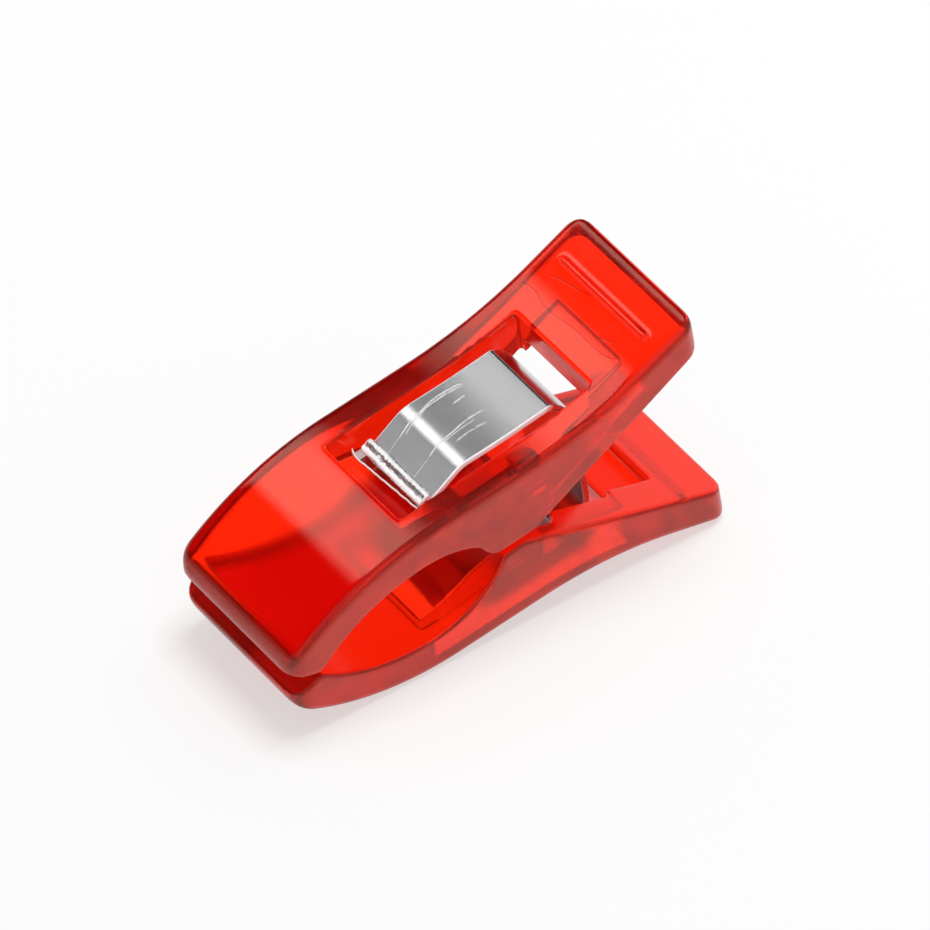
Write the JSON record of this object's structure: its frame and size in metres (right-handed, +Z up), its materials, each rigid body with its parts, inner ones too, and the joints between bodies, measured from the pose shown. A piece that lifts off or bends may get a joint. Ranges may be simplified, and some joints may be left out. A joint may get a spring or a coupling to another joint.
{
  "type": "sewing clip",
  "caption": "Small translucent red clip for holding fabric edges: paired plastic jaws rock on each other and a bent steel strip keeps them shut.",
  "frame": {"origin": "on the table under the middle of the clip's outline, with the clip lying on its lower jaw as in the picture", "axes": "+X from the gripping tips to the handle ends, +Y across the clip, +Z up"},
  "size_m": [0.0274, 0.01, 0.0151],
  "materials": {
    "upper_jaw": "glossy translucent red",
    "lower_jaw": "glossy translucent red",
    "spring_strip": "bright rolled steel with fine lengthwise scratches"
  },
  "bodies": {
    "lower_jaw": {"lower_jaw": "lower_jaw", "spring_strip": "spring_strip"},
    "upper_jaw": {"upper_jaw": "upper_jaw"}
  },
  "joints": [
    {"name": "jaw_rock", "type": "hinge", "parent": "lower_jaw", "child": "upper_jaw", "pos_m": [0.00068, 0, 0.00582], "axis": [0, 1, 0], "range_deg": [0, 42], "stiffness_Nm_per_rad": 0.05, "springref_deg": -0.29, "deforming": ["spring_strip"]}
  ]
}
